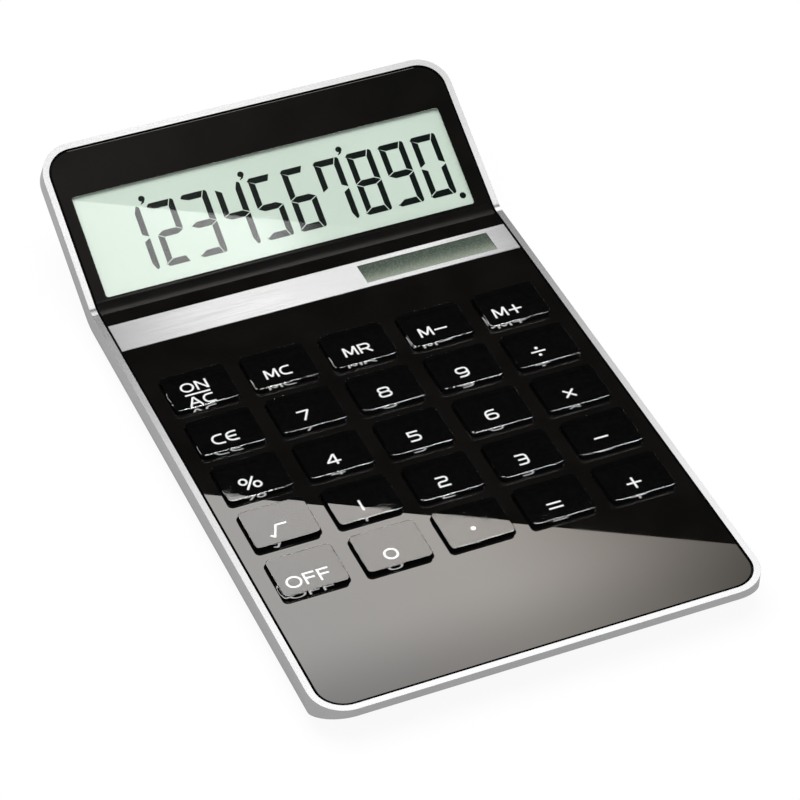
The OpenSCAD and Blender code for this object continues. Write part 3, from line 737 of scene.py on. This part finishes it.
def legend_strokes(name):
    strokes = []
    across, ahead, size = LEGEND_FIT[name]
    for word, (x, y) in LEGENDS.get(name, [([name], (0, 0))]):
        middle = (x + across, y + ahead)
        if word == ["bar"]:
            strokes.append(straight((middle[0] - BAR_HALF, middle[1]), (middle[0] + BAR_HALF, middle[1])))
        elif len(word) > 1:
            strokes += written(word, WORD_H * size, WORD_STROKE, middle, WORD_GAP)
        else:
            strokes += written(word, DIGIT_H * size, DIGIT_STROKE, middle, DIGIT_GAP)
    return strokes


# Keys: a clear cap with its rounded edge, the black print with the white legend, and the rubber boss under it
CAP_EDGE, CAP_EDGE_STEPS = 0.1, 5
PRINT_LOW, PRINT_TOP, PRINT_INSET, INK_LEVEL = 0.02, 0.05, 0.01, 0.075
BOSS_INSET, BOSS_R, BOSS_EDGE = 0.5, 0.8, 0.15
WEB_W, WEB_D, WEB_R = 91.8, 74.8, 0.7
cap_model = rounded_block("cap_model", (KEY_W, KEY_D, KEY_TOP - CAP_LOW), KEY_R, CAP_EDGE, CAP_EDGE_STEPS)
edge_model = split_off(cap_model, rounded)
paint(edge_model, FINISHES["key_acrylic"])
paint(cap_model, FINISHES["key_acrylic"], KEY_WALL)
for polygon in cap_model.data.polygons:
    polygon.material_index = 1 if abs(polygon.normal.z) < 0.1 else 0
print_model = rounded_block(
    "print_model", (KEY_W - 2 * PRINT_INSET, KEY_D - 2 * PRINT_INSET, PRINT_TOP - PRINT_LOW),
    KEY_R - PRINT_INSET)
paint(print_model, KEY_PRINT)
boss_model = rounded_block(
    "boss_model", (KEY_W - 2 * BOSS_INSET, KEY_D - 2 * BOSS_INSET, CAP_LOW - BOARD_TOP), BOSS_R, BOSS_EDGE)
for row, names in enumerate(KEYS):
    for col, name in enumerate(names):
        body = "key_" + name
        middle = (KEY_TOP + CAP_LOW) / 2
        cap = copied(cap_model, "cap_" + name, key_place(col, row, middle))
        dress(cap, body, "key_acrylic", [body])
        edge = copied(edge_model, "edge_" + name, key_place(col, row, middle))
        dress(edge, body, "key_acrylic")
        plate_level = CAP_LOW + (PRINT_LOW + PRINT_TOP) / 2
        backing = copied(print_model, "print_" + name, key_place(col, row, plate_level))
        ink = inked("ink_" + name, legend_strokes(name), key_place(col, row, CAP_LOW + INK_LEVEL))
        paint(ink, KEY_INK)
        backing.select_set(True)
        bpy.context.view_layer.objects.active = backing
        bpy.ops.object.join()
        dress(backing, body, "key_acrylic")
        boss = copied(boss_model, "boss_" + name, key_place(col, row, (CAP_LOW + BOARD_TOP) / 2))
        dress(boss, "case", "black_silicone")
        key_place(col, row, BOARD_TOP)
        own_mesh(boss)
for model in (cap_model, edge_model, print_model, boss_model):
    bpy.data.objects.remove(model)

web = rounded_block("keypad_sheet", (WEB_W, WEB_D, WEB_TOP - BOARD_TOP), WEB_R, BOSS_EDGE)
placed(web, key_place(2, 2, (WEB_TOP + BOARD_TOP) / 2))
dress(web, "case", "black_silicone", ["rubber_keypad"])

# Digits of the display: seven parts with mitred ends and fine gaps
SEG_W, SEG_H = 6.55, 16.4
SEG_X, SEG_Y = 1.67, 1.82
SEG_GAP = 0.1
SEG_TURN, SHOULDER, NECK = 0.75, 0.72, 0.9
DIGIT_PITCH = 8.33
LAST_RIGHT, DIGIT_LOW = 43.0, 6.45
POINT_X, POINT_Y, POINT_R = 44.0, 5.55, 0.8
MARKS, MARK_R = ((-30.8, 24.3), (-6.15, 24.25), (18.8, 24.4)), 0.78
MARK_TAIL = ((-0.1, -0.7), (-0.62, -1.22), (-0.45, -1.38), (0.35, -0.95))
LCD_INK_T, LCD_INK_LIFT = 0.016, 0.02
LIT = {"0": "abcdef", "1": "bc", "2": "abged", "3": "abgcd", "4": "fgbc", "5": "afgcd",
       "6": "afgedc", "7": "fabc", "8": "abcdefg", "9": "abcdfg"}


def corner_arc(x, y, from_angle):
    return [(x + SEG_TURN * math.cos(a), y + SEG_TURN * math.sin(a))
            for a in (math.radians(from_angle + step * 22.5) for step in range(5))]


def digit_parts():
    half = SEG_H / 2
    left, right = SEG_X, SEG_W - SEG_X
    low, high = SEG_Y, SEG_H - SEG_Y
    mid_low, mid_high = half - SEG_Y / 2, half + SEG_Y / 2
    shoulder, neck = SHOULDER, SEG_W - NECK
    arc_right, arc_high = SEG_W - SEG_TURN, SEG_H - SEG_TURN
    return {
        "a": [(0, SEG_H - shoulder)] + corner_arc(SEG_TURN, arc_high, 90)[::-1]
             + [(neck, SEG_H), (right, high), (left, high)],
        "f": [(0, SEG_H - shoulder), (left, high), (left, mid_high), (0, half)],
        "b": [(neck, SEG_H)] + corner_arc(arc_right, arc_high, 0)[::-1]
             + [(SEG_W, half), (right, mid_high), (right, high)],
        "g": [(0, half), (left, mid_high), (right, mid_high),
              (SEG_W, half), (right, mid_low), (left, mid_low)],
        "e": [(0, half), (left, mid_low), (left, low), (0, shoulder)],
        "c": [(SEG_W, half)] + corner_arc(arc_right, SEG_TURN, 270)[::-1]
             + [(neck, 0), (right, low), (right, mid_low)],
        "d": [(0, shoulder), (left, low), (right, low), (neck, 0)]
             + corner_arc(SEG_TURN, SEG_TURN, 180)[::-1],
    }


def shrunk(outline, gap):
    """The outline moved in by the gap, side by side."""
    area = sum(a[0] * b[1] - b[0] * a[1] for a, b in zip(outline, outline[1:] + outline[:1]))
    turn = 1 if area > 0 else -1
    out = []
    for i, here in enumerate(outline):
        before, after = Vector(outline[i - 1]), Vector(outline[(i + 1) % len(outline)])
        here = Vector(here)
        first, second = (here - before).normalized(), (after - here).normalized()
        inward = [Vector((-d.y, d.x)) * turn for d in (first, second)]
        both = (inward[0] + inward[1]).normalized()
        out.append(tuple(here + both * min(gap / max(both.dot(inward[0]), 0.3), 3 * gap)))
    return out


def lcd_outlines():
    outlines = []
    for place, digit in enumerate("1234567890"):
        left = LAST_RIGHT - SEG_W - (9 - place) * DIGIT_PITCH
        for part in LIT[digit]:
            outlines.append([(x + left, y + DIGIT_LOW) for x, y in shrunk(digit_parts()[part], SEG_GAP)])
    circle = [(math.cos(a * math.pi / 10), math.sin(a * math.pi / 10)) for a in range(20)]
    outlines.append([(POINT_X + POINT_R * c, POINT_Y + POINT_R * s) for c, s in circle])
    for x, y in MARKS:
        head = [(x + MARK_R * c, y + MARK_R * s) for c, s in circle[-3:] + circle[:13]]
        outlines.append(head + [(x + across, y + up) for across, up in MARK_TAIL])
    return outlines


lcd_curve = bpy.data.curves.new("lcd_digits", "CURVE")
lcd_curve.dimensions = "2D"
lcd_curve.fill_mode = "BOTH"
lcd_curve.extrude = LCD_INK_T / 2 * MM
for outline in lcd_outlines():
    spline = lcd_curve.splines.new("POLY")
    spline.points.add(len(outline) - 1)
    spline.use_cyclic_u = True
    for point, (x, y) in zip(spline.points, outline):
        point.co = (x * MM, y * MM, 0, 1)
lcd_digits = bpy.data.objects.new("lcd_digits", lcd_curve)
scene.collection.objects.link(lcd_digits)
only(lcd_digits)
bpy.ops.object.convert(target="MESH")
lcd_digits.matrix_world = DISPLAY @ Matrix.Translation((0, 0, (GLASS_TOP + LCD_INK_LIFT) * MM))
bpy.ops.object.transform_apply(location=True, rotation=True, scale=False)
paint(lcd_digits, LCD_INK)
dress(lcd_digits, "case", "lcd_glass")

# Camera
AZIMUTH, ELEVATION, ROLL = math.radians(24.68), math.radians(41.53), math.radians(1.57)
EYE = on_face(-234.54, -433.17, 501.38)
LENS, SENSOR_W, SIGHT_END = 153.28, 36, 50
camera = bpy.data.objects.new("camera", bpy.data.cameras.new("camera"))
camera.data.lens = LENS
camera.data.sensor_width = SENSOR_W
camera.data.clip_end = SIGHT_END
camera.matrix_world = (
    Matrix.Translation(EYE)
    @ Matrix.Rotation(-AZIMUTH, 4, "Z")
    @ Matrix.Rotation(math.pi / 2 - ELEVATION, 4, "X")
    @ Matrix.Rotation(ROLL, 4, "Z")
)
scene.collection.objects.link(camera)
scene.camera = camera

# Floor, backdrop and light
AMBIENT = 0.45
FLOOR_GREY, FLOOR_GLOW, FLOOR_SEEN = 0.41, 1.09, 0.85
scene.view_settings.view_transform = "Standard"
world = bpy.data.worlds.new("studio")
scene.world = world
world.use_nodes = True
world_tree = world.node_tree
backdrop = world_tree.nodes["Background"]
sight = world_tree.nodes.new("ShaderNodeLightPath")
seen = (Wire(world_tree, sight.outputs["Is Camera Ray"]) + Wire(world_tree, sight.outputs["Is Glossy Ray"])
        + Wire(world_tree, sight.outputs["Is Transmission Ray"]))
seen.feed(backdrop.inputs["Strength"], seen.ramp(0.0, 1.0, AMBIENT, 1.0))
backdrop.inputs["Color"].default_value = grey(1.0)


def stage_card(name, corners, material):
    """A flat card of the stage from its corners."""
    bpy.ops.object.select_all(action="DESELECT")
    bpy.ops.mesh.primitive_circle_add(vertices=len(corners), fill_type="NGON")
    card = bpy.context.active_object
    card.name = name
    for vertex, corner in zip(card.data.vertices, corners):
        vertex.co = corner
    paint(card, material)
    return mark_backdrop(card) or card


def only_reflected(card):
    """The card is seen in gloss and glass, and neither lights nor shades the object."""
    card.visible_camera = False
    card.visible_diffuse = False
    card.visible_shadow = False
    card.visible_volume_scatter = False


def floor_finish():
    """A pale floor that takes the object's shadow and goes over into the white background."""
    material = finish("floor_white", lambda place: {}, {
        "Base Color": grey(FLOOR_GREY), "Roughness": 0.9, "Specular IOR Level": 0.0})
    tree = material.node_tree
    matt = Wire(tree, tree.nodes["Principled BSDF"].outputs[0])
    glow = matt.node("Emission", None, {"Color": grey(1.0), "Strength": FLOOR_GLOW})
    look = FLOOR_SEEN * Wire(tree, tree.nodes.new("ShaderNodeLightPath").outputs["Is Camera Ray"])
    both = look.node("MixShader", None, {0: look, 1: matt, 2: glow})
    both.feed(tree.nodes["Material Output"].inputs["Surface"], both)
    return material


def glowing(name, strength, recipe=lambda place: {}, clear=True):
    """A glowing card, which lets what is behind it be seen too where it is clear."""
    material = finish(name, recipe, {
        "Base Color": grey(0.0), "Specular IOR Level": 0.0, "Emission Color": grey(1.0),
        "Emission Strength": strength})
    if clear:
        tree = material.node_tree
        film = Wire(tree, tree.nodes.new("ShaderNodeBsdfTransparent").outputs[0])
        glow = Wire(tree, tree.nodes["Principled BSDF"].outputs[0])
        both = film.node("AddShader", None, {0: film, 1: glow})
        both.feed(tree.nodes["Material Output"].inputs["Surface"], both)
    return material


class Mirror:
    """A flat glossy face, and where a card stands to be seen at given places on it from the camera."""

    def __init__(self, point, normal, distance):
        height = (EYE - point).dot(normal)
        self.eye = EYE - 2 * height * normal
        self.scale = (height + distance) / height

    def card(self, points):
        return [self.eye + (point - self.eye) * self.scale for point in points]

    def seen(self, place, direction, origin):
        """How far a card's coordinates seem to lie on the face along a direction, in millimetres."""
        start = self.eye.dot(direction)
        on_card = place.along(direction) - start
        return on_card * (1 / (self.scale * MM)) + (start - origin.dot(direction)) / MM


FACE_UP = Vector((0, 0, 1))
DISPLAY_OUT = Vector((0, -math.sin(TILT), math.cos(TILT)))
DISPLAY_UP = Vector((0, math.cos(TILT), math.sin(TILT)))
RIGHTWARD, REARWARD = Vector((1, 0, 0)), Vector((0, 1, 0))
FACE_ORIGIN, BEND_ORIGIN = on_face(0, 0), on_face(0, BEND_Y)
keypad_mirror = Mirror(FACE_ORIGIN, FACE_UP, 1.0)
rim_mirror = Mirror(FACE_ORIGIN, FACE_UP, 0.9)
strip_mirror = Mirror(FACE_ORIGIN, FACE_UP, 0.8)
window_mirror = Mirror(BEND_ORIGIN, DISPLAY_OUT, 1.0)
display_rim_mirror = Mirror(BEND_ORIGIN, DISPLAY_OUT, 0.9)
haze_mirror = Mirror(BEND_ORIGIN, DISPLAY_OUT, 1.1)


def keypad_glow(place):
    x = keypad_mirror.seen(place, RIGHTWARD, FACE_ORIGIN)
    y = keypad_mirror.seen(place, REARWARD, FACE_ORIGIN)
    level = x.ramp(-10, 62, 1.0, 0.25) * y.ramp(-2, 22, 0.62, 1.0)
    tint = x.ramp(-50, 50).mix(grey(0.97, 0.03), grey(0.97, 0.1))
    return {"Emission Color": level.mix(grey(0.0), tint)}


def rim_glow(place):
    x = rim_mirror.seen(place, RIGHTWARD, FACE_ORIGIN)
    y = rim_mirror.seen(place, REARWARD, FACE_ORIGIN)
    level = y.ramp(50 - 0.6 * x, 112 + 0.13 * x, 1.0, 0.0) * x.ramp(-60, 0, 1.0, 0.92)
    return {"Emission Color": level.mix(grey(0.0), grey(1.0))}


def display_rim_glow(place):
    x = display_rim_mirror.seen(place, RIGHTWARD, BEND_ORIGIN)
    v = display_rim_mirror.seen(place, DISPLAY_UP, BEND_ORIGIN)
    level = x.ramp(-60, 40, 0.74, 1.0) * (x + v).ramp(40, 110, 1.0, 0.42)
    return {"Emission Color": level.mix(grey(0.0), grey(1.0))}


def strip_glow(place):
    x = strip_mirror.seen(place, RIGHTWARD, FACE_ORIGIN)
    y = strip_mirror.seen(place, REARWARD, FACE_ORIGIN)
    across = x + 0.8 * (y - SOLAR_Y)
    dip = across.ramp(-4, 9) * across.ramp(9, 22, 1.0, 0.0)
    level = x.ramp(-72, -12, 0.12, 1.0) * x.ramp(30, 62, 1.0, 0.03) * (1 - 0.9 * dip)
    return {"Emission Color": level.mix(grey(0.0), grey(1.0))}


def window_glow(place):
    x = window_mirror.seen(place, RIGHTWARD, BEND_ORIGIN)
    level = x.ramp(-46, -8, 0.34, 0.5) * x.ramp(-7, 10, 1.0, 0.1)
    return {"Emission Color": level.mix(grey(0.0), grey(1.0))}


def haze_glow(place):
    x = haze_mirror.seen(place, RIGHTWARD, BEND_ORIGIN)
    return {"Emission Color": x.ramp(-60, 50).mix(grey(1.0, 0.06), grey(0.15))}


def oblong(half, front, rear):
    return (-half, front), (half, front), (half, rear), (-half, rear)


def on_keypad(*places):
    return [on_face(x, y) for x, y in places]


def on_display(*places):
    return [DISPLAY @ (Vector((x, v, 0)) * MM) for x, v in places]


def level_card(name, half, front, rear, height, material):
    return stage_card(name, [(x, y, height) for x, y in oblong(half, front, rear)], material)


# Stage: the floor, with a black ceiling and walls that keep the gloss dark, in metres
FLOOR_HALF, CEILING_HALF, CEILING_Z = 4.0, 7.0, 1.3
WALL, WALL_LOW = 3.0, -0.2


def wall(name, start, end):
    corners = [(*start, WALL_LOW), (*end, WALL_LOW), (*end, CEILING_Z), (*start, CEILING_Z)]
    return stage_card(name, corners, glowing(name + "_black", 0.0, clear=False))


level_card("floor", FLOOR_HALF, -FLOOR_HALF, FLOOR_HALF, 0, floor_finish())
ceiling = level_card("dark_ceiling", CEILING_HALF, -CEILING_HALF, CEILING_HALF, CEILING_Z,
                     glowing("flag_black", 0.02, clear=False))
rear_wall = wall("rear_wall", (-WALL, WALL), (WALL * 0.8, WALL))
left_wall = wall("left_wall", (-WALL, -WALL * 0.2), (-WALL, WALL))

# Cards that the gloss mirrors: the light over the keypad ends along a slanting line, that in the window too
LIGHT_HALF, LIGHT_LEFT, LIGHT_RIGHT, LIGHT_FRONT = 90, 92.8, -11.86, -12
keypad_card = stage_card("keypad_card", keypad_mirror.card(on_keypad(
    (-LIGHT_HALF, LIGHT_LEFT), (LIGHT_HALF, LIGHT_RIGHT),
    (LIGHT_HALF, LIGHT_FRONT), (-LIGHT_HALF, LIGHT_FRONT))),
    glowing("keypad_glow", 6.8, keypad_glow))
rim_card = stage_card("rim_card", rim_mirror.card(on_keypad(*oblong(110, -140, 140))),
                      glowing("rim_glow", 1.88, rim_glow))
display_rim_card = stage_card("display_rim_card", display_rim_mirror.card(on_display(*oblong(130, -60, 110))),
                              glowing("display_rim_glow", 1.68, display_rim_glow))
strip_card = stage_card("strip_card", strip_mirror.card(on_keypad(*oblong(90, 80, 170))),
                        glowing("strip_glow", 1.6, strip_glow))
WINDOW_LIT_LEFT, WINDOW_LIT_RIGHT, WINDOW_LIT_HIGH = -46.6, 20.1, 27.9
window_card = stage_card("window_card", window_mirror.card(on_display(
    (WINDOW_LIT_LEFT, WINDOW_LIT_HIGH), (WINDOW_LIT_RIGHT, WINDOW_LOW), (WINDOW_LIT_LEFT, WINDOW_LOW))),
    glowing("window_glow", 6.3, window_glow))
haze_card = stage_card("haze_card", haze_mirror.card(on_display(*oblong(60, 0, 48))),
                       glowing("haze_glow", 0.24, haze_glow))

# The light above that the rounded edges of the keys mirror, apart from the keys in the slanting light
EDGE_CARD_Z, EDGE_LEFT, EDGE_RIGHT, EDGE_FRONT, EDGE_REAR = 0.8, -0.4, 1.0, -1.5, 0.4
edge_card = stage_card("edge_card", [
    (EDGE_LEFT, EDGE_FRONT, EDGE_CARD_Z), (EDGE_RIGHT, EDGE_FRONT, EDGE_CARD_Z),
    (EDGE_RIGHT, EDGE_REAR, EDGE_CARD_Z), (EDGE_LEFT, EDGE_REAR, EDGE_CARD_Z)], glowing("edge_glow", 30))
edge_card.visible_transmission = False
for card in (ceiling, rear_wall, left_wall, keypad_card, rim_card, display_rim_card, strip_card, window_card,
             haze_card, edge_card):
    only_reflected(card)


def shine_on(card, names):
    """The card shines on the named pieces alone."""
    receivers = bpy.data.collections.new(card.name + "_receivers")
    for name in names:
        receivers.objects.link(bpy.data.objects[name])
    card.light_linking.receiver_collection = receivers


METAL = ("case_shell", "strip_plate")
LIT_KEYS = ("root", "off", "0")
shine_on(keypad_card, [p.name for p in bpy.data.objects if p.type == "MESH" and p.name not in METAL])
shine_on(rim_card, ["case_shell"])
shine_on(display_rim_card, ["case_shell"])
shine_on(strip_card, ["strip_plate"])
shine_on(edge_card, ["edge_" + name for names in KEYS for name in names if name not in LIT_KEYS])

# The one lamp, a large disk above
LAMP_PLACE, LAMP_SIZE, LAMP_POWER = Vector((-0.2, 0.1, 1.4)), 1.2, 20
overhead = bpy.data.objects.new("overhead", bpy.data.lights.new("overhead", "AREA"))
overhead.data.shape = "DISK"
overhead.data.size = LAMP_SIZE
overhead.data.energy = LAMP_POWER
overhead.location = LAMP_PLACE
overhead.rotation_euler = (-LAMP_PLACE).to_track_quat("-Z", "Y").to_euler()
overhead.visible_glossy = False
scene.collection.objects.link(overhead)
